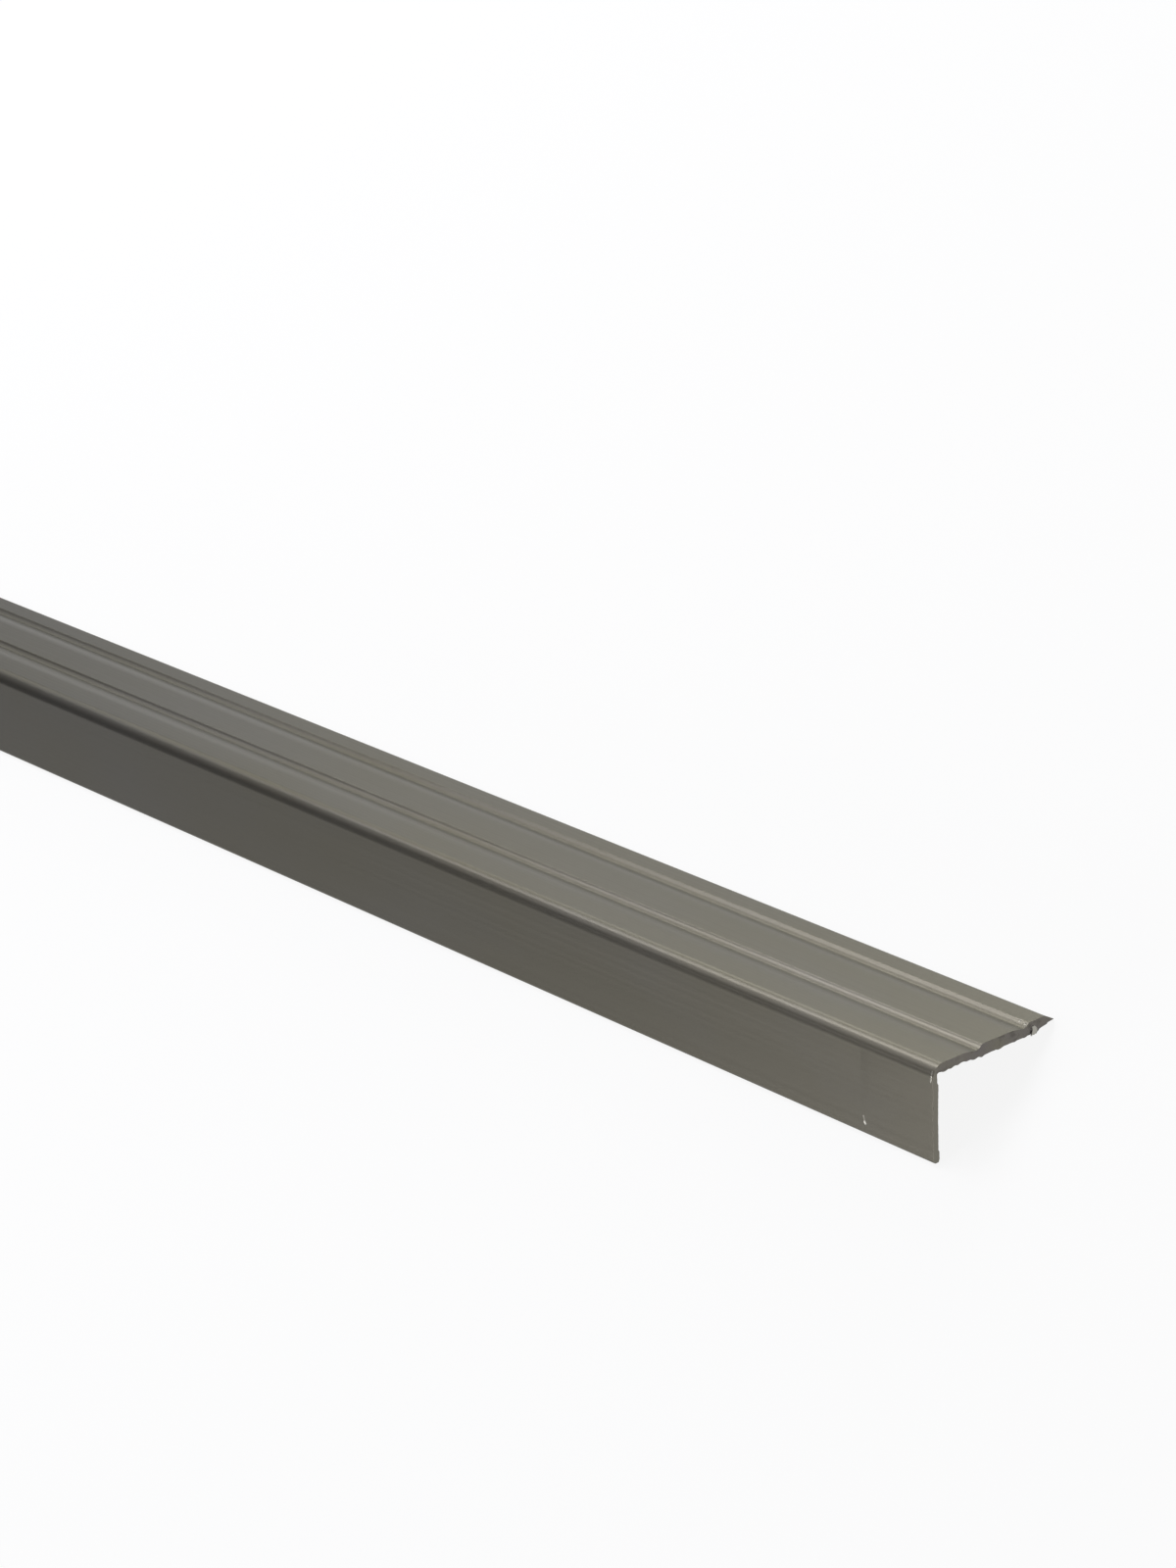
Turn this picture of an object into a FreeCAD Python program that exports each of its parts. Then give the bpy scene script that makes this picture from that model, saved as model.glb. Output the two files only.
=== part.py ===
import FreeCAD, Part
import math
import os

# Corner profile: one length of extruded aluminium angle that covers the edge of a step or board.
# The top leg has three lands with two shallow grooves between them, and ends in a thin bevelled lip.
# The front leg is plain, hangs from the rounded nose and ends in a slightly thickened toe.
# The section is drawn as it is fitted: y runs back from the front face, z runs up from the toe.
# All sizes are millimetres.

# Bar
LENGTH = 1000.0         # one of the lengths this stock is sold in
EDGE_ROUND = 0.08       # crisp outer edges
CORNER_ROUND = 0.3      # inner corners

# Widths of the top leg, from the nose back to the tip of the lip
NOSE_RADIUS = 2.0
FRONT_LAND = 4.4
FRONT_FALL = 2.5
FRONT_RISE = 1.05
MIDDLE_LAND = 6.55
BACK_FALL = 2.2
BACK_RISE = 1.05
BACK_LAND = 3.25
LIP_BEVEL = 2.0

# Heights and depths of the top leg
FRONT_HEIGHT = 15.6     # toe to the front land
MIDDLE_STEP = 0.22      # middle land above the front land
BACK_STEP = 0.18        # back land above the middle land
GROOVE_DEPTH = 0.45     # below the land in front of the groove
KNEE_WIDTH = 0.65       # the rise steepens this far behind the bottom of the groove
KNEE_HEIGHT = 0.3       # and this far above it
TOP_WALL = 1.65         # front land to the flat underside
LIP_DROP = 1.18         # back land to the tip of the lip

# Rounds in the grooves
FALL_ROUND = 12.0       # where a land turns down into its groove
GROOVE_ROUND = 1.0      # bottom of a groove
KNEE_ROUND = 1.5        # where the rise steepens
CREST_ROUND = 0.35      # where a groove comes up to the next land

# Underside of the top leg
RELIEF_DEPTH = 0.3      # hollow behind the front leg
RELIEF_WIDTH = 5.0
RELIEF_RAMP = 3.0       # where the hollow runs out into the flat underside
RELIEF_ROUND = 3.0      # rounds at both ends of that ramp
LIP_OVERHANG = 3.4      # width of the lip past the step in the underside
LIP_STEP = 0.45         # height of that step
LIP_STEP_RUN = 0.4      # how far that step leans back

# Front leg
LEG_WALL = 1.0
CORNER_RELIEF = 0.2     # depth of the hollow in the leg's inner face, under the top leg
CORNER_RELIEF_HEIGHT = 1.6
TOE_BEAD = 0.2          # how far the toe stands proud of the inner face
TOE_BEAD_HEIGHT = 2.0
TOE_CHAMFER = 0.5       # height of the sloped end of the bead
TOE_ROUND = 0.45        # outer edge of the toe
RAMP = 0.3              # height of the small slopes into the bead and into the relief

# Levels above the toe
FRONT_Z = FRONT_HEIGHT
MIDDLE_Z = FRONT_Z + MIDDLE_STEP
BACK_Z = MIDDLE_Z + BACK_STEP
UNDER_Z = FRONT_Z - TOP_WALL
RELIEF_Z = UNDER_Z + RELIEF_DEPTH
TIP_Z = BACK_Z - LIP_DROP

# Places behind the front face
FRONT_LAND_END = NOSE_RADIUS + FRONT_LAND
FRONT_VALLEY = FRONT_LAND_END + FRONT_FALL
FRONT_CREST = FRONT_VALLEY + FRONT_RISE
MIDDLE_LAND_END = FRONT_CREST + MIDDLE_LAND
BACK_VALLEY = MIDDLE_LAND_END + BACK_FALL
BACK_CREST = BACK_VALLEY + BACK_RISE
BACK_LAND_END = BACK_CREST + BACK_LAND
TIP_Y = BACK_LAND_END + LIP_BEVEL
LIP_ROOT = TIP_Y - LIP_OVERHANG

# A round takes at most this share of the shorter side next to its corner
ROUND_SHARE = 0.45

TOE_CORNER = (LEG_WALL, 0.0, EDGE_ROUND)
LIP_TIP = (TIP_Y, TIP_Z, EDGE_ROUND)


def groove_corners(land_end, land_z, valley, crest, crest_z):
    """A long gentle fall, a small round, and a rise that steepens at a knee below the next land."""
    bottom = land_z - GROOVE_DEPTH
    return [
        (land_end, land_z, FALL_ROUND),
        (valley, bottom, GROOVE_ROUND),
        (valley + KNEE_WIDTH, bottom + KNEE_HEIGHT, KNEE_ROUND),
        (crest, crest_z, CREST_ROUND),
    ]


def section_corners():
    """Corners of the section as (y, z, radius), from the toe up over the top and back underneath."""
    nose_and_lands = [
        (0.0, 0.0, TOE_ROUND),
        (0.0, FRONT_Z, NOSE_RADIUS),
        *groove_corners(FRONT_LAND_END, FRONT_Z, FRONT_VALLEY, FRONT_CREST, MIDDLE_Z),
        *groove_corners(MIDDLE_LAND_END, MIDDLE_Z, BACK_VALLEY, BACK_CREST, BACK_Z),
        (BACK_LAND_END, BACK_Z, CORNER_ROUND),
        LIP_TIP,
    ]
    relief_end = LEG_WALL + RELIEF_WIDTH
    underside = [
        (LIP_ROOT + LIP_STEP_RUN, UNDER_Z + LIP_STEP, CORNER_ROUND),
        (LIP_ROOT, UNDER_Z, EDGE_ROUND),
        (relief_end + RELIEF_RAMP, UNDER_Z, RELIEF_ROUND),
        (relief_end, RELIEF_Z, RELIEF_ROUND),
    ]
    relief_y = LEG_WALL - CORNER_RELIEF
    relief_foot = RELIEF_Z - CORNER_RELIEF_HEIGHT
    inner_face = [
        (relief_y, RELIEF_Z, CORNER_ROUND),
        (relief_y, relief_foot, CORNER_ROUND),
        (LEG_WALL, relief_foot - RAMP, EDGE_ROUND),
        (LEG_WALL, TOE_BEAD_HEIGHT, CORNER_ROUND),
        (LEG_WALL + TOE_BEAD, TOE_BEAD_HEIGHT - RAMP, EDGE_ROUND),
        (LEG_WALL + TOE_BEAD, TOE_CHAMFER, EDGE_ROUND),
        TOE_CORNER,
    ]
    return nose_and_lands + underside + inner_face


def point(y, z):
    return FreeCAD.Vector(-LENGTH / 2, y, z)


def corner_arc(before, corner, after):
    """Start, middle, end and centre of the arc that rounds one corner, tangent to both its sides."""
    apex = point(corner[0], corner[1])
    back = point(before[0], before[1]) - apex
    ahead = point(after[0], after[1]) - apex
    half_angle = back.getAngle(ahead) / 2
    shorter = min(back.Length, ahead.Length)
    reach = min(corner[2] / math.tan(half_angle), ROUND_SHARE * shorter)
    radius = reach * math.tan(half_angle)
    back.normalize()
    ahead.normalize()
    inward = back + ahead
    inward.normalize()
    centre = apex + inward * (radius / math.sin(half_angle))
    middle = centre - inward * radius
    return apex + back * reach, middle, apex + ahead * reach, centre


def neighbours(corners, index):
    return corners[index - 1], corners[index], corners[(index + 1) % len(corners)]


def section_face(corners):
    """Flat face of the section: tangent arcs at the corners, joined by straight sides."""
    arcs = [corner_arc(*neighbours(corners, index)) for index in range(len(corners))]
    edges = []
    for index, (start, middle, end, _) in enumerate(arcs):
        edges.append(Part.makeLine(arcs[index - 1][2], start))
        edges.append(Part.Arc(start, middle, end).toShape())
    return Part.Face(Part.Wire(edges))


def resting_tilt(corners):
    """Angle from the toe's contact with the floor to the lip's, in degrees."""
    toe = corner_arc(*neighbours(corners, corners.index(TOE_CORNER)))[3]
    tip = corner_arc(*neighbours(corners, corners.index(LIP_TIP)))[3]
    return math.degrees(math.atan2(tip.z - toe.z, tip.y - toe.y))


def laid_down(bar, tilt):
    """The bar as it lies on a floor, like a tent on its toe and its lip, centred over the origin."""
    bar.rotate(FreeCAD.Vector(0, 0, 0), FreeCAD.Vector(1, 0, 0), -tilt)
    box = bar.optimalBoundingBox(False)
    bar.translate(FreeCAD.Vector(-box.Center.x, -box.Center.y, -box.ZMin))
    return bar


corners = section_corners()
bar = section_face(corners).extrude(FreeCAD.Vector(LENGTH, 0, 0))
corner_profile = laid_down(bar, resting_tilt(corners))

os.makedirs("parts", exist_ok=True)
corner_profile.exportStep("parts/corner_profile.step")

box = corner_profile.optimalBoundingBox(False)
print("section", round(TIP_Y, 3), "x", round(BACK_Z, 3), "mm, tilt", round(resting_tilt(corners), 3))
print("box", round(box.XLength, 3), round(box.YLength, 3), round(box.ZLength, 3))
print("section area", round(corner_profile.Volume / LENGTH, 3), "valid", corner_profile.isValid())
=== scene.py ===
# %% [markdown]
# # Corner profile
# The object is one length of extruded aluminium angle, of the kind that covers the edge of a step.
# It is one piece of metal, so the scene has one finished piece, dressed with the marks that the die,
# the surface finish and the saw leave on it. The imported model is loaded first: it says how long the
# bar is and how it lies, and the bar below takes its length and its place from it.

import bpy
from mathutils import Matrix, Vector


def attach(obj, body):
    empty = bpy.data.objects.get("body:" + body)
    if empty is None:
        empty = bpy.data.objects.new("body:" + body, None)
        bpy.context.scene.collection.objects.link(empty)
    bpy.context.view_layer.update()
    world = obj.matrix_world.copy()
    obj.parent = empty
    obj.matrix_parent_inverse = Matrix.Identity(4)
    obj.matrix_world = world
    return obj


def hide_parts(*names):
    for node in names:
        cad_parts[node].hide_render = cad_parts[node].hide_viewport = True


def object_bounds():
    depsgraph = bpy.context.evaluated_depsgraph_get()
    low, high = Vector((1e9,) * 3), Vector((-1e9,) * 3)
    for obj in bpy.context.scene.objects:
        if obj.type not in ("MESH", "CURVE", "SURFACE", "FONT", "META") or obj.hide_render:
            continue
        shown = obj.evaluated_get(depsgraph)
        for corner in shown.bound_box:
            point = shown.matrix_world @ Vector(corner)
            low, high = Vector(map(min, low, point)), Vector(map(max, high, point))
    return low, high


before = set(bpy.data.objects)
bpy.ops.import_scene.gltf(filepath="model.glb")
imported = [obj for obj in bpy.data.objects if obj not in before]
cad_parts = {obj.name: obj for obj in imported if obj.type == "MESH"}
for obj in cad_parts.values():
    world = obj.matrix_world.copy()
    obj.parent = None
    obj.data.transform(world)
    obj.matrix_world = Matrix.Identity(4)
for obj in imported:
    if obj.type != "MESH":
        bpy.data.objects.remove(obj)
cad_low, cad_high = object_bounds()
print("packed model from", tuple(cad_low), "to", tuple(cad_high))

# %% Blender's modules
import math

import bmesh
import bpy
from mathutils import Matrix, Vector, noise

MM = 0.001
TOUCH = 0.001 * MM  # points closer than this lie in one place

# %% [markdown]
# ## The section
# An extruded bar takes its shape from the hole in a die, so it is drawn once, as an outline, and then
# drawn out to its length. The top leg has three lands with two shallow grooves between them and a thin
# bevelled lip. Each groove is a long gentle fall, a small round and a rise with a knee in it, and that
# rise is what catches the light as a bright line. The front leg is plain and ends in a slightly
# thickened toe. The outline could be traced point by point, but then no size could be changed later.
# Here it is a short list of sharp corners, worked out from the widths and heights, and each corner
# carries the radius that rounds it. In the outline y runs back from the front face, and z runs up from
# the toe, in millimetres.

# %% Widths of the top leg, from the nose back to the tip of the lip
NOSE_RADIUS = 2.0
FRONT_LAND = 4.4
FRONT_FALL = 2.5
FRONT_RISE = 1.05
MIDDLE_LAND = 6.55
BACK_FALL = 2.2
BACK_RISE = 1.05
BACK_LAND = 3.25
LIP_BEVEL = 2.0

# %% Heights and depths of the top leg
FRONT_HEIGHT = 15.6
MIDDLE_STEP = 0.22
BACK_STEP = 0.18
GROOVE_DEPTH = 0.45
KNEE_WIDTH = 0.65
KNEE_HEIGHT = 0.3
TOP_WALL = 1.65
LIP_DROP = 1.18
LIP_OVERHANG = 3.4
LIP_STEP = 0.45
LIP_STEP_RUN = 0.4
RELIEF_DEPTH = 0.3
RELIEF_WIDTH = 5.0
RELIEF_RAMP = 3.0

# %% Sizes of the front leg
LEG_WALL = 1.0
CORNER_RELIEF = 0.2
CORNER_RELIEF_HEIGHT = 1.6
TOE_BEAD = 0.2
TOE_BEAD_HEIGHT = 2.0
TOE_CHAMFER = 0.5
TOE_ROUND = 0.45
RAMP = 0.3

# %% Radii that round the corners
EDGE_ROUND = 0.08
CORNER_ROUND = 0.3
FALL_ROUND = 12.0
GROOVE_ROUND = 1.0
KNEE_ROUND = 1.5
CREST_ROUND = 0.35
RELIEF_ROUND = 3.0

# %% Levels and places that several corners share
MIDDLE_Z = FRONT_HEIGHT + MIDDLE_STEP
BACK_Z = MIDDLE_Z + BACK_STEP
UNDER_Z = FRONT_HEIGHT - TOP_WALL
RELIEF_Z = UNDER_Z + RELIEF_DEPTH
FRONT_LAND_END = NOSE_RADIUS + FRONT_LAND
FRONT_VALLEY = FRONT_LAND_END + FRONT_FALL
FRONT_CREST = FRONT_VALLEY + FRONT_RISE
MIDDLE_LAND_END = FRONT_CREST + MIDDLE_LAND
BACK_VALLEY = MIDDLE_LAND_END + BACK_FALL
BACK_CREST = BACK_VALLEY + BACK_RISE
BACK_LAND_END = BACK_CREST + BACK_LAND
TIP_Y = BACK_LAND_END + LIP_BEVEL
LIP_ROOT = TIP_Y - LIP_OVERHANG
print("section", TIP_Y, "mm wide and", BACK_Z, "mm high")

# %% The corners, from the toe up over the top and back underneath
TOE_CORNER = (LEG_WALL, 0.0, EDGE_ROUND)
LIP_TIP = (TIP_Y, BACK_Z - LIP_DROP, EDGE_ROUND)


def groove_corners(land_end, land_z, valley, crest, crest_z):
    """A long gentle fall, a small round, and a rise that steepens at a knee below the next land."""
    bottom = land_z - GROOVE_DEPTH
    return [
        (land_end, land_z, FALL_ROUND),
        (valley, bottom, GROOVE_ROUND),
        (valley + KNEE_WIDTH, bottom + KNEE_HEIGHT, KNEE_ROUND),
        (crest, crest_z, CREST_ROUND),
    ]


def section_corners():
    """All corners as (y, z, radius)."""
    over_the_top = [
        (0.0, 0.0, TOE_ROUND),
        (0.0, FRONT_HEIGHT, NOSE_RADIUS),
        *groove_corners(FRONT_LAND_END, FRONT_HEIGHT, FRONT_VALLEY, FRONT_CREST, MIDDLE_Z),
        *groove_corners(MIDDLE_LAND_END, MIDDLE_Z, BACK_VALLEY, BACK_CREST, BACK_Z),
        (BACK_LAND_END, BACK_Z, CORNER_ROUND),
        LIP_TIP,
    ]
    relief_end = LEG_WALL + RELIEF_WIDTH
    underneath = [
        (LIP_ROOT + LIP_STEP_RUN, UNDER_Z + LIP_STEP, CORNER_ROUND),
        (LIP_ROOT, UNDER_Z, EDGE_ROUND),
        (relief_end + RELIEF_RAMP, UNDER_Z, RELIEF_ROUND),
        (relief_end, RELIEF_Z, RELIEF_ROUND),
    ]
    relief_y = LEG_WALL - CORNER_RELIEF
    relief_foot = RELIEF_Z - CORNER_RELIEF_HEIGHT
    down_the_leg = [
        (relief_y, RELIEF_Z, CORNER_ROUND),
        (relief_y, relief_foot, CORNER_ROUND),
        (LEG_WALL, relief_foot - RAMP, EDGE_ROUND),
        (LEG_WALL, TOE_BEAD_HEIGHT, CORNER_ROUND),
        (LEG_WALL + TOE_BEAD, TOE_BEAD_HEIGHT - RAMP, EDGE_ROUND),
        (LEG_WALL + TOE_BEAD, TOE_CHAMFER, EDGE_ROUND),
        TOE_CORNER,
    ]
    return over_the_top + underneath + down_the_leg


corners = section_corners()
print(len(corners), "corners")

# %% [markdown]
# ## Rounding the corners
# A vertex bevel would round the corners too, but it makes an ellipse where the corner isn't square,
# and the sharp tip of the lip would come out a tenth of a millimetre too long. So each round is spun:
# one vertex stands where the round begins, and the spin operator turns it about the round's centre and
# leaves a true arc of short edges behind it. A bend of the outline to the left turns the vertex by a
# positive angle, and a bend to the right by a negative one.

# %% Where a round begins, and what it turns about
ROUND_SHARE = 0.45


def corner_round(index):
    """Start and centre of the arc at one corner, in millimetres, and the angle that it turns through."""
    before, corner, after = (Vector(corners[i % len(corners)][:2]) for i in (index - 1, index, index + 1))
    into, out = corner - before, after - corner
    turn = math.atan2(into.cross(out), into.dot(out))
    slope = math.tan(abs(turn) / 2)
    reach = min(corners[index][2] * slope, ROUND_SHARE * min(into.length, out.length))
    start = corner - into.normalized() * reach
    to_the_left = Vector((-into.y, into.x)).normalized()
    return start, start + to_the_left * math.copysign(reach / slope, turn), turn


# %% Draw the section as a face
STEP_ANGLE = math.radians(6)
FEWEST_STEPS = 3


def draw_section(bm, x):
    """The outline at x, arc after arc, closed with one face. Metres, as everything from here on."""
    ends = []
    for index in range(len(corners)):
        start, centre, turn = corner_round(index)
        first = bm.verts.new((x, start.x * MM, start.y * MM))
        spun = bmesh.ops.spin(
            bm,
            geom=[first],
            cent=(x, centre.x * MM, centre.y * MM),
            axis=(1, 0, 0),
            angle=turn,
            steps=max(FEWEST_STEPS, math.ceil(abs(turn) / STEP_ANGLE)),
        )
        last = next(v for v in spun["geom_last"] if isinstance(v, bmesh.types.BMVert))
        ends.append((first, last))
    for index, (first, last) in enumerate(ends):
        bm.edges.new((ends[index - 1][1], first))
    return bmesh.ops.contextual_create(bm, geom=bm.edges[:])["faces"][0]


# %% [markdown]
# ## The bar
# The press pushes the metal through the die, so the face is extruded along X. The saw leaves the end
# faces a little rough, with torn metal standing out past them. The clean faces therefore lie just
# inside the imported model's ends, and the burrs may use the rest.

# %% Draw the section out to its length
BURR_REACH = 0.3 * MM
far_end = cad_low.x + BURR_REACH
cut_end = cad_high.x - BURR_REACH

bm = bmesh.new()
bare = bm.verts.layers.float.new("bare_metal")
section = draw_section(bm, far_end)
print("section has", len(bm.verts), "points and", round(section.calc_area() / MM**2, 2), "square mm")
drawn = bmesh.ops.extrude_face_region(bm, geom=[section], use_keep_orig=True)
moved = [v for v in drawn["geom"] if isinstance(v, bmesh.types.BMVert)]
bmesh.ops.translate(bm, verts=moved, vec=(cut_end - far_end, 0, 0))
bmesh.ops.recalc_face_normals(bm, faces=bm.faces)
print("bar is", round(bm.calc_volume() / MM**3), "cubic mm")

# %% [markdown]
# ## How it will lie
# Unheld on a floor the bar lies like a tent, on its toe and on the tip of its lip. Both corners have
# the same small radius, so the line through the centres of their rounds is parallel to the floor, and
# its slope in the section is the angle to turn the bar by. The place is worked out now, while the bar
# is clean: later the burrs would get in the way. The turn itself waits until all marks are made,
# because they are easier to place on the upright section.

# %% The turn and the shift on to the floor
toe_centre = corner_round(corners.index(TOE_CORNER))[1]
tip_centre = corner_round(corners.index(LIP_TIP))[1]
foot_line = tip_centre - toe_centre
tilt = math.atan2(foot_line.y, foot_line.x)
turned = Matrix.Rotation(-tilt, 3, "X")
spots = [turned @ v.co for v in bm.verts]
middle = (min(spot.y for spot in spots) + max(spot.y for spot in spots)) / 2
settled = Vector((0, (cad_low.y + cad_high.y) / 2 - middle, cad_low.z - min(spot.z for spot in spots)))
print("tilt", round(math.degrees(tilt), 3), "degrees, shift", tuple(round(c / MM, 3) for c in settled), "mm")

# %% [markdown]
# ## The sawn ends
# A saw cuts clean where its teeth go in and tears where they come out. Here they came out under the top
# leg, so the rim is nearly clean above, and small teeth of metal hang below. A displacement texture
# could fake this, but the teeth show against the light, so they have to be real shape. The rim's edges
# are divided into short pieces, and noise moves the new points. Two loops close behind the rim keep the
# rest of the bar straight. The nearer loop is divided along with the rim: each short piece of rim then
# has its own small face behind it, and a moved point bends only the faces beside it.

# %% Loops behind both rims
RIM_LOOPS = (0.25 * MM, 0.8 * MM)


def loop_round(bm, x):
    everything = bm.faces[:] + bm.edges[:] + bm.verts[:]
    bmesh.ops.bisect_plane(bm, geom=everything, dist=TOUCH, plane_co=(x, 0, 0), plane_no=(1, 0, 0))


for inset in RIM_LOOPS:
    loop_round(bm, cut_end - inset)
    loop_round(bm, far_end + inset)
print("with loops", len(bm.faces), "faces")

# %% Divide a rim
RIM_PITCH = 0.2 * MM


def rim_of(bm, x):
    return [e for e in bm.edges if all(abs(v.co.x - x) < TOUCH for v in e.verts)]


def loop_edge_behind(edge):
    """The edge of the nearest loop that lies across the strip from an edge of the rim."""
    strip = min(edge.link_faces, key=lambda f: abs(f.normal.x))
    return next(e for e in strip.edges if not set(e.verts) & set(edge.verts))


def divide_rim(bm, x):
    for edge in rim_of(bm, x):
        cuts = int(edge.calc_length() / RIM_PITCH)
        if cuts:
            bmesh.ops.subdivide_edges(bm, edges=[edge, loop_edge_behind(edge)], cuts=cuts)
    bm.normal_update()
    for edge in rim_of(bm, x):
        edge.smooth = False


for end in (cut_end, far_end):
    divide_rim(bm, end)
    print("rim at", round(end, 4), "m has", len(rim_of(bm, end)), "edges")

# %% [markdown]
# ## Frayed rims
# The noise pulls a rim inwards, a little on the outer sides and more on the inner ones, and steps it
# back and forth along the bar. Only the teeth stand out, into the free space under the top leg. On the
# cut that the photo shows, some teeth can be told apart in the outline, so they are listed one by one. One
# of them has a negative drop: it is a bite out of the rim. The tip of the lip is bent up and outwards
# into a burr.

# %% How a rim frays
FRAY_OUTSIDE = 0.012 * MM
FRAY_INSIDE = 0.06 * MM
FRAY_GRAIN = 2600.0
TOOTH_DROP = 0.16 * MM
TOOTH_GRAIN = 750.0
TOOTH_GAIN = 2
SAW_STEP = 0.08 * MM
SAW_GRAIN = 375.0
FREE_ABOVE = 12 * MM
FREE_BEFORE = 23.5 * MM
SIDE_LIMIT = 0.5  # a face that looks less than this along the bar is one of its long sides


def outward(vert):
    """Away from the metal at a point of the rim, square to the bar."""
    sides = [f.normal for f in vert.link_faces if abs(f.normal.x) < SIDE_LIMIT]
    return sum(sides, Vector()).normalized()


def hangs_free(vert):
    """Whether a point of the rim is above the free space under the top leg."""
    return vert.co.z > FREE_ABOVE and vert.co.y < FREE_BEFORE


def frayed(vert, end, seed):
    """How far noise moves one point of a rim."""
    away = outward(vert)
    place = vert.co + Vector((seed, 0, 0))
    rough = (1 + noise.noise(place * FRAY_GRAIN)) / 2
    tooth = 0.0
    if hangs_free(vert):
        tooth = max(0.0, -away.z) * max(0.0, noise.noise(place * TOOTH_GRAIN)) * TOOTH_GAIN
    inside = max(0.0, away.y, -away.z)
    depth = FRAY_OUTSIDE + (FRAY_INSIDE - FRAY_OUTSIDE) * inside
    shift = away * (TOOTH_DROP * tooth - depth * rough * (1 - tooth))
    shift.x = math.copysign(SAW_STEP, end) * (noise.noise(place * SAW_GRAIN) + tooth)
    return shift


# %% The teeth that show, as (place, width, drop) in millimetres back from the front face
CUT_TEETH = [
    (1.05, 0.3, -0.2),
    (2.3, 0.75, 0.26),
    (5.0, 0.45, 0.16),
    (6.9, 0.5, 0.12),
    (9.9, 0.4, 0.16),
    (16.7, 0.3, 0.1),
]


def placed_drop(back):
    """How far the placed teeth hang down, at a place in metres."""
    bumps = (drop * math.exp(-(((back / MM - place) / width) ** 2)) for place, width, drop in CUT_TEETH)
    return sum(bumps) * MM


# %% The burr on the cut lip
LIP_BURR = 0.2 * MM
LIP_BURR_LEAN = 0.9
LIP_BURR_FROM = 22.4
LIP_BURR_FULL = 23.6


def lip_burr(back):
    """Up from the floor and out past the cut, the more the nearer to the tip."""
    share = (back / MM - LIP_BURR_FROM) / (LIP_BURR_FULL - LIP_BURR_FROM)
    return turned.transposed() @ Vector((LIP_BURR_LEAN, 0, 1)) * LIP_BURR * max(0.0, min(1.0, share))


# %% Fray both rims
def placed_marks(vert):
    """What the placed teeth and the burr add at one point of the cut rim."""
    drop = placed_drop(vert.co.y) if hangs_free(vert) and outward(vert).z < 0 else 0.0
    return lip_burr(vert.co.y) - Vector((0, 0, drop))


def rim_points(bm, x):
    return list(dict.fromkeys(v for e in rim_of(bm, x) for v in e.verts))


for end, seed in ((cut_end, 1.0), (far_end, 2.0)):
    shifts = {vert: frayed(vert, end, seed) for vert in rim_points(bm, end)}
    if end == cut_end:
        for vert in shifts:
            shifts[vert] += placed_marks(vert)
    for vert, shift in shifts.items():
        vert.co += shift
    longest = max(shift.length for shift in shifts.values())
    print("longest shift at", round(end, 4), "m is", round(longest / MM, 3), "mm")

# %% [markdown]
# ## Cells for the marks
# The long faces have no points along their length, so there is nothing to dent yet. Dividing the whole
# bar finely would cost hundreds of thousands of faces. A plane can cut only the faces that it is given,
# so each mark gets a small box of its own that is cut into cells, and the rest stays as it is.

# %% Places by the cut end
def spot_at(along, back, up):
    """A point in millimetres along from the cut, back from the front face and up from the toe."""
    return Vector((cut_end - along * MM, back * MM, up * MM))


def box_at(along, back, up):
    """Two corners of a box, from a range in each of those directions."""
    return spot_at(along[1], back[0], up[0]), spot_at(along[0], back[1], up[1])


# %% Cut the faces inside a box into cells
def reaches_into(face, low, high):
    for axis in range(3):
        places = [v.co[axis] for v in face.verts]
        if max(places) <= low[axis] + TOUCH or min(places) >= high[axis] - TOUCH:
            return False
    return True


def with_edges_and_points(faces):
    edges = dict.fromkeys(e for f in faces for e in f.edges)
    points = dict.fromkeys(v for f in faces for v in f.verts)
    return [*faces, *edges, *points]


def cut_cells(bm, box, pitch, axes=(0, 1, 2)):
    low, high = box
    for axis in axes:
        cells = max(1, round((high[axis] - low[axis]) / pitch))
        for cell in range(cells + 1):
            place, across = Vector(low), Vector((0, 0, 0))
            place[axis] += cell * (high[axis] - low[axis]) / cells
            across[axis] = 1.0
            parts = with_edges_and_points([f for f in bm.faces if reaches_into(f, low, high)])
            bmesh.ops.bisect_plane(bm, geom=parts, dist=TOUCH, plane_co=place, plane_no=across)


# %% [markdown]
# ## Nicks and scratches
# Handling and sawing leave a few small marks: a nick low on the front leg with a scrape above it, a
# smear of metal that runs down from the nose at the cut, a scratch and a dent beside the saw cut, and a
# second dent at its rim. A boolean could cut them, but they are pressed in rather than cut out: metal
# that leaves the pit stands up round it. So points near the mark are moved along their own normals, in
# at the middle and out round it, and the same amount is kept in an attribute, so that the finish knows
# where bare metal shows. The smear was added and not pressed in, so its depth is negative.

# %% Press a line into the metal
PRESS_REACH = 2.0
PIT_FALL = 2.5
RING_FALL = 6.0
RING_PLACE = 1.1
USUAL_RIM = 0.35


def distance_to_line(point, start, end):
    line = end - start
    share = max(0.0, min(1.0, (point - start).dot(line) / line.length_squared))
    return (point - start - line * share).length


def press_line(bm, start, end, radius, depth, rim=USUAL_RIM, shine=1.0):
    """Presses a groove with a raised rim from start to end, or raises a ridge if the depth is negative."""
    bm.normal_update()
    shifts = {}
    for vert in bm.verts:
        share = distance_to_line(vert.co, start, end) / radius
        if share < PRESS_REACH:
            pit = math.exp(-PIT_FALL * share * share)
            ring = math.exp(-RING_FALL * (share - RING_PLACE) ** 2)
            shifts[vert] = vert.normal * depth * (rim * ring - pit)
            vert[bare] = max(vert[bare], shine * pit)
    for vert, shift in shifts.items():
        vert.co += shift
    print("pressed", len(shifts), "points")


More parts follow.
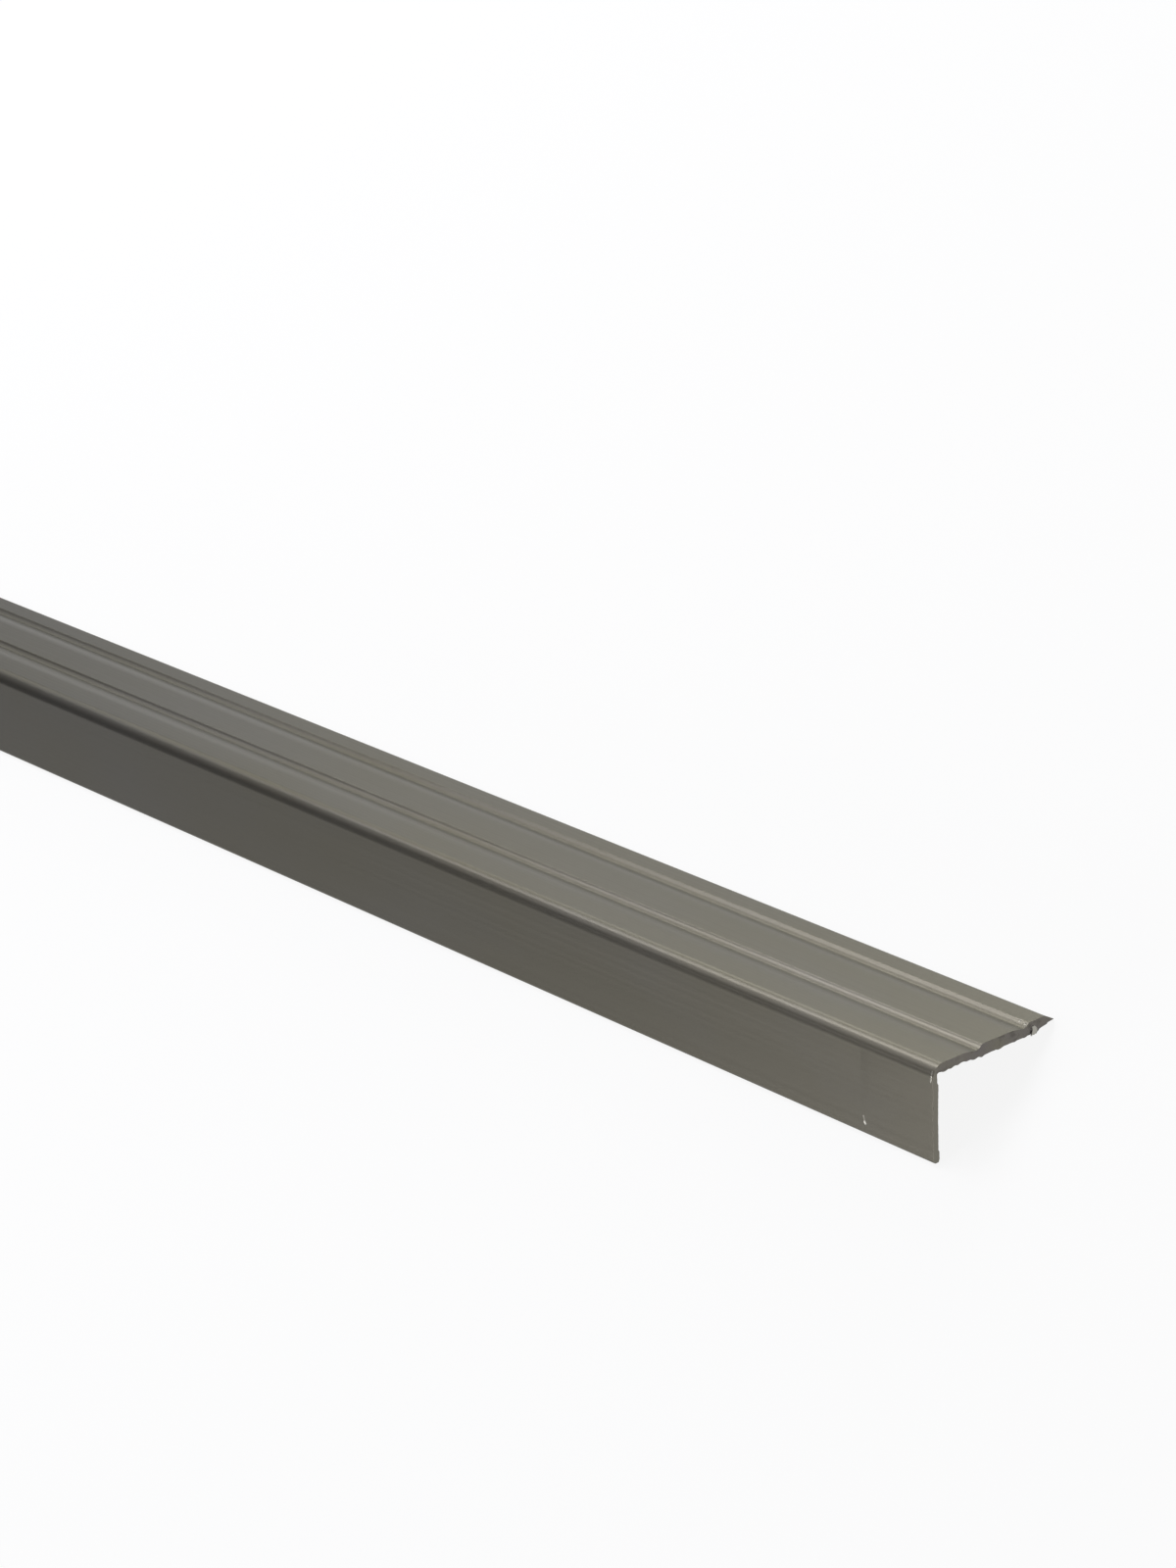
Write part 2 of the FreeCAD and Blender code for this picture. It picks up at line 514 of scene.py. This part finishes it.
# %% The nick low on the front leg, and the scrape above it
FINE_CELLS = 0.1 * MM
NICK = (spot_at(13.95, 0.0, 1.75), spot_at(14.12, 0.0, 1.98))
SCRAPE = (spot_at(14.15, 0.0, 2.2), spot_at(14.4, 0.0, 2.9))

cut_cells(bm, box_at(along=(13.3, 14.9), back=(-0.05, 0.05), up=(1.2, 3.3)), FINE_CELLS)
press_line(bm, *NICK, radius=0.27 * MM, depth=0.035 * MM, rim=0.2)
press_line(bm, *SCRAPE, radius=0.16 * MM, depth=0.012 * MM, rim=0.2, shine=0.35)

# %% The smear under the nose, at the cut
SMEAR_CELLS = 0.08 * MM
SMEAR_TOP = spot_at(0.45, 0.22, 14.55)
SMEAR_BEND = spot_at(0.45, 0.03, 13.9)
SMEAR_FOOT = spot_at(0.56, 0.0, 12.9)

cut_cells(bm, box_at(along=(0.1, 0.9), back=(-0.05, 0.45), up=(12.5, 14.9)), SMEAR_CELLS)
press_line(bm, SMEAR_TOP, SMEAR_BEND, radius=0.13 * MM, depth=-0.02 * MM, shine=0.55)
press_line(bm, SMEAR_BEND, SMEAR_FOOT, radius=0.13 * MM, depth=-0.02 * MM, shine=0.55)

# %% The scratch across the back groove, and the dent at its top
SCRATCH = (spot_at(1.5, 19.95, 15.95), spot_at(1.9, 17.9, 15.55))
SCRATCH_DENT = (spot_at(1.62, 19.65, 15.95), spot_at(1.6, 19.45, 15.8))

cut_cells(bm, box_at(along=(1.2, 2.1), back=(17.8, 20.2), up=(15.0, 16.05)), FINE_CELLS)
press_line(bm, *SCRATCH, radius=0.1 * MM, depth=0.015 * MM, shine=0.25)
press_line(bm, *SCRATCH_DENT, radius=0.2 * MM, depth=0.02 * MM, shine=0.25)

# %% The dent at the cut, on the crest of the back groove
CREST_DENT = (spot_at(0.4, 19.35, 15.75), spot_at(0.3, 19.25, 15.7))

cut_cells(bm, box_at(along=(0.26, 0.78), back=(19.0, 19.8), up=(15.2, 16.05)), FINE_CELLS)
press_line(bm, *CREST_DENT, radius=0.25 * MM, depth=0.03 * MM, shine=0.3)
print("marked bar has", len(bm.faces), "faces")

# %% [markdown]
# ## The end face
# The blade tore a notch out of the end face where the lip begins, and a flake of bare metal still hangs
# beside it. Nearer the nose the cut has a shallow hollow and a ridge. The notch and the hollow are
# pressed in like the nick, and the ridge is raised like the smear. The flake starts as a flat grid, gets
# its flare and its curl from moved points, and solidify gives it a thickness.

# %% The notch
ACROSS = (1, 2)
NOTCH_CELLS = 0.07 * MM
NOTCH = (spot_at(0, 20.12, 14.5), spot_at(0, 20.14, 15.05))

cut_cells(bm, box_at(along=(-0.2, 0.15), back=(19.7, 20.6), up=(14.15, 15.45)), NOTCH_CELLS, ACROSS)
press_line(bm, *NOTCH, radius=0.16 * MM, depth=0.15 * MM, rim=0.1, shine=0.0)

# %% The hollow and the ridge
HOLLOW_CELLS = 0.15 * MM
HOLLOW = (spot_at(0, 4.3, 15.2), spot_at(0, 5.1, 15.2))
RIDGE = (spot_at(0, 5.3, 14.75), spot_at(0, 6.0, 14.85))

cut_cells(bm, box_at(along=(-0.2, 0.15), back=(3.9, 6.3), up=(14.5, 15.5)), HOLLOW_CELLS, ACROSS)
press_line(bm, *HOLLOW, radius=0.3 * MM, depth=0.05 * MM, shine=0.0)
press_line(bm, *RIDGE, radius=0.12 * MM, depth=-0.04 * MM, shine=0.1)

# %% A flat grid for the flake, upright in the plane of the cut
UPRIGHT = Matrix(((0, 0, 1), (1, 0, 0), (0, 1, 0)))
COLUMNS, ROWS = 6, 10

bar_faces = set(bm.faces)
grid = bmesh.ops.create_grid(bm, x_segments=COLUMNS, y_segments=ROWS, size=0.5)["verts"]
bmesh.ops.rotate(bm, verts=grid, cent=(0, 0, 0), matrix=UPRIGHT)

# %% Flare and curl it, and give it a thickness
FLAKE_TOP = 15.2 * MM
FLAKE_HEIGHT = 1.35 * MM
FLAKE_BACK = 20.6 * MM
FLAKE_SWAY = 0.3 * MM
FLAKE_SLANT = 0.1
FLAKE_NECK = 0.55 * MM
FLAKE_FLARE = 0.65 * MM
FLAKE_FLARE_TURN = 0.6 * math.pi
FLAKE_RAGGED = 0.15
RIPPLE_ACROSS, RIPPLE_DOWN = 4, 3
FLAKE_THICKNESS = 0.06 * MM
FLAKE_SHINE = 0.85
STAND_OFF, LEAN, FLUTTER = 0.1, 0.55, 0.3  # shares of the space left for burrs

for vert in grid:
    across, down = vert.co.y, 0.5 - vert.co.z
    ragged = noise.noise(Vector((across * RIPPLE_ACROSS, down * RIPPLE_DOWN, 0))) * down
    width = FLAKE_NECK + FLAKE_FLARE * math.sin(FLAKE_FLARE_TURN * down)
    vert.co.x = cut_end + BURR_REACH * (STAND_OFF + LEAN * down + FLUTTER * ragged)
    vert.co.y = FLAKE_BACK + FLAKE_SWAY * math.sin(math.pi * down) + (across - FLAKE_SLANT * down) * width
    vert.co.z = FLAKE_TOP - FLAKE_HEIGHT * (down + FLAKE_RAGGED * ragged)
    vert[bare] = FLAKE_SHINE
bmesh.ops.solidify(bm, geom=[f for f in bm.faces if f not in bar_faces], thickness=FLAKE_THICKNESS)
flake = [f for f in bm.faces if f not in bar_faces]
bmesh.ops.recalc_face_normals(bm, faces=flake)
reach = max(v.co.x for f in flake for v in f.verts) - cut_end
print("flake has", len(flake), "faces and reaches", round(reach / MM, 3), "mm past the end face")

# %% [markdown]
# ## Laying it down
# The marks are done, so the bar is turned and moved on to the floor, to the place worked out above.

# %% Turn the bar on to its toe and its lip
bmesh.ops.rotate(bm, verts=bm.verts, cent=(0, 0, 0), matrix=turned)
bmesh.ops.translate(bm, verts=bm.verts, vec=settled)

# %% [markdown]
# ## One finished piece
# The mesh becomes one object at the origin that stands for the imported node. All faces are shaded
# smooth, the rims stay sharp, and a weighted normal modifier lets the wide flat faces win over the
# narrow rounds beside them, so the lands look flat right up to their edges.

# %% Faces for the sawn finish
SATIN, SAWN = 0, 1
END_DEPTH = 0.24 * MM
END_LIMIT = 0.6  # an end face looks more than this along the bar

for face in bm.faces:
    face.smooth = True
    at_an_end = all(min(abs(v.co.x - cut_end), abs(v.co.x - far_end)) < END_DEPTH for v in face.verts)
    face.material_index = SAWN if at_an_end and abs(face.normal.x) > END_LIMIT else SATIN
print(sum(f.material_index == SAWN for f in bm.faces), "sawn faces")

# %% Make the object
mesh = bpy.data.meshes.new("satin_bar")
bm.to_mesh(mesh)
bm.free()
bar = bpy.data.objects.new("satin_bar", mesh)
bpy.context.scene.collection.objects.link(bar)
even = bar.modifiers.new("even_shading", "WEIGHTED_NORMAL")
even.keep_sharp = True
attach(bar, "root")
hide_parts("corner_profile")
print(bar.name, "has", len(mesh.polygons), "faces")

# %% [markdown]
# ## Small helpers for the finishes
# Each finish is a handful of nodes, and a few helpers keep the code short. One adds a node and fills its
# sockets. The others each add one step of a recipe: a pattern in the object's own space, a change of
# range, a blend of two colours, a bump.

# %% Add a node
def add(tree, kind, sockets=None, **settings):
    node = tree.nodes.new(kind)
    for name, value in settings.items():
        setattr(node, name, value)
    for name, value in (sockets or {}).items():
        node.inputs[name].default_value = value
    return node


# %% Patterns and places in the object's own space
def stretched(tree, stretch):
    """Object coordinates in metres, times a stretch for each axis."""
    where = add(tree, "ShaderNodeTexCoord")
    mapping = add(tree, "ShaderNodeMapping", {"Scale": stretch})
    tree.links.new(where.outputs["Object"], mapping.inputs["Vector"])
    return mapping.outputs["Vector"]


def patches(tree, stretch, detail=2.0, roughness=0.5):
    """Soft noise in the object's own space, from 0 to 1."""
    cloud = add(tree, "ShaderNodeTexNoise", {"Scale": 1.0, "Detail": detail, "Roughness": roughness})
    tree.links.new(stretched(tree, stretch), cloud.inputs["Vector"])
    return cloud.outputs["Fac"]


def place_on(tree, axis):
    """How far along one axis the shaded point lies, in metres."""
    where = add(tree, "ShaderNodeTexCoord")
    split = add(tree, "ShaderNodeSeparateXYZ")
    tree.links.new(where.outputs["Object"], split.inputs["Vector"])
    return split.outputs[axis]


# %% Change of range, blend and bump
NOISE_LOW, NOISE_HIGH = 0.3, 0.7  # nearly all of a soft noise lies between these


def remapped(tree, value, low, high, start=NOISE_LOW, end=NOISE_HIGH):
    ranges = {"From Min": start, "From Max": end, "To Min": low, "To Max": high}
    span = add(tree, "ShaderNodeMapRange", ranges)
    tree.links.new(value, span.inputs["Value"])
    return span.outputs["Result"]


def blended(tree, amount, first, second):
    mix = add(tree, "ShaderNodeMix", data_type="RGBA")
    tree.links.new(amount, mix.inputs["Factor"])
    for socket, colour in ((mix.inputs["A"], first), (mix.inputs["B"], second)):
        if isinstance(colour, bpy.types.NodeSocket):
            tree.links.new(colour, socket)
        else:
            socket.default_value = (*colour, 1.0)
    return mix.outputs["Result"]


def dented(tree, height, distance, under=None):
    """A bump of that distance in metres, on top of the one under it."""
    bump = add(tree, "ShaderNodeBump", {"Strength": 1.0, "Distance": distance})
    tree.links.new(height, bump.inputs["Height"])
    if under is not None:
        tree.links.new(under, bump.inputs["Normal"])
    return bump.outputs["Normal"]


# %% Metal, and the bare metal that shows in the marks
BARE_TONE = (0.42, 0.41, 0.36)


def metal(name):
    material = bpy.data.materials.new(name)
    material.use_nodes = True
    shader = material.node_tree.nodes["Principled BSDF"]
    shader.inputs["Metallic"].default_value = 1.0
    return material, material.node_tree, shader


def colour_with_marks(tree, shader, tone):
    worn = add(tree, "ShaderNodeAttribute", attribute_name="bare_metal")
    tree.links.new(blended(tree, worn.outputs["Fac"], tone, BARE_TONE), shader.inputs["Base Color"])


# %% [markdown]
# ## The satin finish
# The bar is etched matt and anodised in a dark grey with a touch of olive. Three things keep it from
# looking like plastic. The tone is warmer near the cut than farther along. This is painted light: a warm
# tint is painted near the cut and a cool one farther along, standing in for the colour of the light there.
# The tone also drifts a little, at random, over a few centimetres. The die leaves fine lines that run the
# whole length, so their noise is stretched along X. And the etch leaves a fine grain. The die lines and
# the grain are far too fine for geometry, so they are bump and roughness.

# %% The tone of the satin aluminium, with painted warm and cool light along the bar
# Tones of the satin in the painted warm light near the cut and in the painted cool light farther along
SATIN_IN_PAINTED_WARM_LIGHT = (0.112, 0.105, 0.083)
SATIN_IN_PAINTED_COOL_LIGHT = (0.114, 0.109, 0.0955)
PAINTED_WARM_LIGHT_UP_TO = 70 * MM
PAINTED_COOL_LIGHT_AFTER = 240 * MM
TONE_PATCH = (28.0, 60.0, 60.0)
PATCH_SHARE = 0.35

satin, tree, shader = metal("satin_aluminium")
# Painted light: the tone is painted warm near the cut and cool farther along, plus a random drift
coolest_painted_light, warmest_painted_light = cut_end - PAINTED_COOL_LIGHT_AFTER, cut_end - PAINTED_WARM_LIGHT_UP_TO
painted_light_from_the_cut = remapped(tree, place_on(tree, "X"), 1.0, 0.0, start=coolest_painted_light, end=warmest_painted_light)
drift = remapped(tree, patches(tree, TONE_PATCH), -PATCH_SHARE, PATCH_SHARE)
painted_light_and_drift = add(tree, "ShaderNodeMath", operation="ADD", use_clamp=True)
tree.links.new(painted_light_from_the_cut, painted_light_and_drift.inputs[0])
tree.links.new(drift, painted_light_and_drift.inputs[1])
colour_with_marks(tree, shader, blended(tree, painted_light_and_drift.outputs["Value"], SATIN_IN_PAINTED_WARM_LIGHT, SATIN_IN_PAINTED_COOL_LIGHT))

# %% Its die lines and its grain
DIE_LINES = (3.0, 2600.0, 2600.0)
DIE_LINE_DETAIL = 3.0
ETCH_GRAIN = (5200.0, 5200.0, 5200.0)
SATIN_DEPTH = 0.004 * MM
SMOOTHEST, ROUGHEST = 0.32, 0.38

die_lines = patches(tree, DIE_LINES, detail=DIE_LINE_DETAIL)
tree.links.new(remapped(tree, die_lines, SMOOTHEST, ROUGHEST), shader.inputs["Roughness"])
grain = dented(tree, patches(tree, ETCH_GRAIN), SATIN_DEPTH)
tree.links.new(dented(tree, die_lines, SATIN_DEPTH, under=grain), shader.inputs["Normal"])
mesh.materials.append(satin)
print(satin.name, "has", len(tree.nodes), "nodes")

# %% [markdown]
# ## The sawn finish
# The end faces are fresh metal, a little lighter than the satin. Under the top leg the blade tore it, and
# the torn patches are darker. The front leg was cut clean, so it has none: it is the front part of the
# bar's width, and a blend along Y tells it apart. The blade also leaves arcs. Rings about a point in
# front of the bar, as far off as the blade's radius, give arcs that look nearly straight on it.

# %% The tone of the sawn aluminium
SAWN_TONE = (0.160, 0.150, 0.119)
SAWN_COOL = (0.142, 0.130, 0.126)
SAWN_DARK = (0.085, 0.078, 0.066)
SAWN_CLEAN = (0.185, 0.175, 0.146)
SAWN_PATCH = (900.0, 260.0, 260.0)
TEAR_PATCH = (0.0, 620.0, 900.0)
TEAR_DETAIL, TEAR_CRISPNESS = 3.0, 0.6
TEAR_FROM, TEAR_FULL = 0.54, 0.68
TEAR_SHARE = 0.75
LEG_CLEAN_TO = cad_low.y + 7.5 * MM
LEG_TORN_FROM = cad_low.y + 8.5 * MM

sawn, tree, shader = metal("sawn_aluminium")
tone = blended(tree, remapped(tree, patches(tree, SAWN_PATCH), 0.0, 1.0), SAWN_TONE, SAWN_COOL)
tears = patches(tree, TEAR_PATCH, detail=TEAR_DETAIL, roughness=TEAR_CRISPNESS)
torn_share = remapped(tree, tears, 0.0, TEAR_SHARE, start=TEAR_FROM, end=TEAR_FULL)
tone = blended(tree, torn_share, tone, SAWN_DARK)
on_the_leg = remapped(tree, place_on(tree, "Y"), 1.0, 0.0, start=LEG_CLEAN_TO, end=LEG_TORN_FROM)
colour_with_marks(tree, shader, blended(tree, on_the_leg, tone, SAWN_CLEAN))

# %% Its arcs and its torn grain
SAWN_ROUGHNESS = 0.42
BLADE_RADIUS = 0.11
ARC_PITCH = 0.3 * MM
ARC_DEPTH = 0.01 * MM
TORN_GRAIN = (3000.0, 3000.0, 3000.0)
TORN_DETAIL = 3.0
TORN_DEPTH = 0.03 * MM
WAVES_PER_UNIT = 20 / (2 * math.pi)  # how many rings the wave node draws in one unit at scale 1

shader.inputs["Roughness"].default_value = SAWN_ROUGHNESS
about_the_blade = add(tree, "ShaderNodeMapping", {"Location": (0, BLADE_RADIUS, 0)})
where = add(tree, "ShaderNodeTexCoord")
tree.links.new(where.outputs["Object"], about_the_blade.inputs["Vector"])
wobble = {"Distortion": 1.5, "Detail": 2.0, "Detail Scale": 3.0}
arcs = add(tree, "ShaderNodeTexWave", wobble, wave_type="RINGS", rings_direction="X")
arcs.inputs["Scale"].default_value = 1 / (WAVES_PER_UNIT * ARC_PITCH)
tree.links.new(about_the_blade.outputs["Vector"], arcs.inputs["Vector"])
torn = dented(tree, patches(tree, TORN_GRAIN, detail=TORN_DETAIL), TORN_DEPTH)
tree.links.new(dented(tree, arcs.outputs["Fac"], ARC_DEPTH, under=torn), shader.inputs["Normal"])
mesh.materials.append(sawn)
print(sawn.name, "has", len(tree.nodes), "nodes")

# %% [markdown]
# ## The floor
# A plain pale table. Its own tone is dark and nearly all its white is glow, as on a light table. A white
# cloth under strong lamps would do too, but its brightness would change with each lamp. This way the
# table stays nearly white whatever the lamps do, and the bar leaves only a soft shadow on it.

# %% A pale glowing floor
FLOOR_HALF = 6.0
FLOOR_TONE = 0.12
FLOOR_GLOW = 0.893
FLOOR_ROUGHNESS = 0.9

bm = bmesh.new()
bmesh.ops.create_grid(bm, x_segments=1, y_segments=1, size=FLOOR_HALF)
floor_mesh = bpy.data.meshes.new("floor")
bm.to_mesh(floor_mesh)
bm.free()
floor = bpy.data.objects.new("floor", floor_mesh)
bpy.context.scene.collection.objects.link(floor)
pale = bpy.data.materials.new("pale_floor")
pale.use_nodes = True
table_top = pale.node_tree.nodes["Principled BSDF"]
table_top.inputs["Base Color"].default_value = (FLOOR_TONE, FLOOR_TONE, FLOOR_TONE, 1)
table_top.inputs["Roughness"].default_value = FLOOR_ROUGHNESS
table_top.inputs["Specular IOR Level"].default_value = 0.0
table_top.inputs["Emission Color"].default_value = (1, 1, 1, 1)
table_top.inputs["Emission Strength"].default_value = FLOOR_GLOW
floor_mesh.materials.append(pale)
print("floor is", 2 * FLOOR_HALF, "m wide")

# %% [markdown]
# ## The light
# Satin metal has hardly any colour of its own: it shows what stands around it, blurred. So the light is
# set up as a photographer would, with soft boxes placed where the faces of the bar mirror them. Seen
# from the camera, the lands mirror the horizon behind the bar, and the falls of the grooves mirror the
# glowing floor there. The rises of the grooves and the top of the nose mirror what stands higher behind
# the bar, 30 to 50 degrees up, and the front face mirrors the horizon in front. All the boxes face a
# place near the cut, so the bar dims towards its far end. One large box overhead would be simpler, but
# it would make every face alike. Each box was tried alone first, and then all were set in quarter
# watts, with one of three tints.

# %% A soft box
BOX_SIZE = 0.4
BOX_DISTANCE = 1.2
LIT_INSET = 0.1
LIT_PLACE = Vector((cad_high.x - LIT_INSET, 0, 0))


def direction(azimuth, elevation):
    """Unit vector away from the bar: azimuth 0 is the front, 90 the cut end, 180 the back. Degrees."""
    a, e = math.radians(azimuth), math.radians(elevation)
    return Vector((math.sin(a) * math.cos(e), -math.cos(a) * math.cos(e), math.sin(e)))


def soft_box(name, azimuth, elevation, watts, blue):
    """A square lamp that faces the lit place. Its tint is white with more or less blue."""
    data = bpy.data.lights.new(name, "AREA")
    data.shape = "SQUARE"
    data.size = BOX_SIZE
    data.energy = watts
    data.color = (1.0, 1.0, blue)
    box = bpy.data.objects.new(name, data)
    bpy.context.scene.collection.objects.link(box)
    towards = direction(azimuth, elevation)
    box.location = LIT_PLACE + towards * BOX_DISTANCE
    box.rotation_mode = "QUATERNION"
    box.rotation_quaternion = (-towards).to_track_quat("-Z", "Y")


# %% Soft boxes round the cut end: name, azimuth, elevation, watts, tint
WARM, PLAIN, COOL = 0.9, 1.0, 1.08
BOXES = [
    ("low_back", 200, 8, 2.25, WARM),
    ("low_back_left", 220, 8, 0.25, WARM),
    ("low_front", 345, 8, 5.75, COOL),
    ("behind_the_bar", 215, 23, 2.0, PLAIN),
    ("behind_the_middle", 235, 23, 0.75, WARM),
    ("behind_the_far_end", 255, 23, 0.25, WARM),
    ("front_left", 328, 38, 1.5, COOL),
    ("high_back", 220, 53, 2.5, COOL),
    ("high_back_left", 245, 53, 3.5, COOL),
    ("high_left", 290, 53, 1.25, COOL),
]
for box in BOXES:
    soft_box(*box)
print(len(BOXES), "soft boxes,", sum(box[3] for box in BOXES), "watts in all")

# %% A dim room round them
ROOM_LIGHT = 0.1

world = bpy.data.worlds.new("studio")
world.use_nodes = True
world.node_tree.nodes["Background"].inputs["Color"].default_value = (1, 1, 1, 1)
world.node_tree.nodes["Background"].inputs["Strength"].default_value = ROOM_LIGHT
bpy.context.scene.world = world
bpy.context.scene.view_settings.view_transform = "Standard"
print("room light", ROOM_LIGHT)

# %% [markdown]
# ## The camera
# The photo looks down on the cut end, with the bar running away to the upper left and its front leg
# upright in the picture. The bar lies turned on its toe and lip here, so the camera leans over instead.
# First a level camera is aimed at the target, and then it is rolled about its own line of sight.

# %% A camera at the photo's angle
CAMERA_AZIMUTH = 65.78
CAMERA_ELEVATION = 39.17
CAMERA_ROLL = 33.29
CAMERA_DISTANCE = 0.6536
CAMERA_TARGET = Vector((0.456585, -0.007852, 0.060635))
LENS = 105.0
FILM_WIDTH = 36.0
CLIP_NEAR, CLIP_FAR = 0.01, 50.0

camera_data = bpy.data.cameras.new("camera")
camera_data.lens = LENS
camera_data.sensor_fit = "AUTO"
camera_data.sensor_width = FILM_WIDTH
camera_data.clip_start = CLIP_NEAR
camera_data.clip_end = CLIP_FAR
camera = bpy.data.objects.new("camera", camera_data)
bpy.context.scene.collection.objects.link(camera)
back = direction(CAMERA_AZIMUTH, CAMERA_ELEVATION)
level = (-back).to_track_quat("-Z", "Y")
camera.location = CAMERA_TARGET + back * CAMERA_DISTANCE
camera.rotation_mode = "QUATERNION"
camera.rotation_quaternion = level @ Matrix.Rotation(-math.radians(CAMERA_ROLL), 3, "Z").to_quaternion()
bpy.context.scene.camera = camera
print("camera at", tuple(round(c, 4) for c in camera.location))
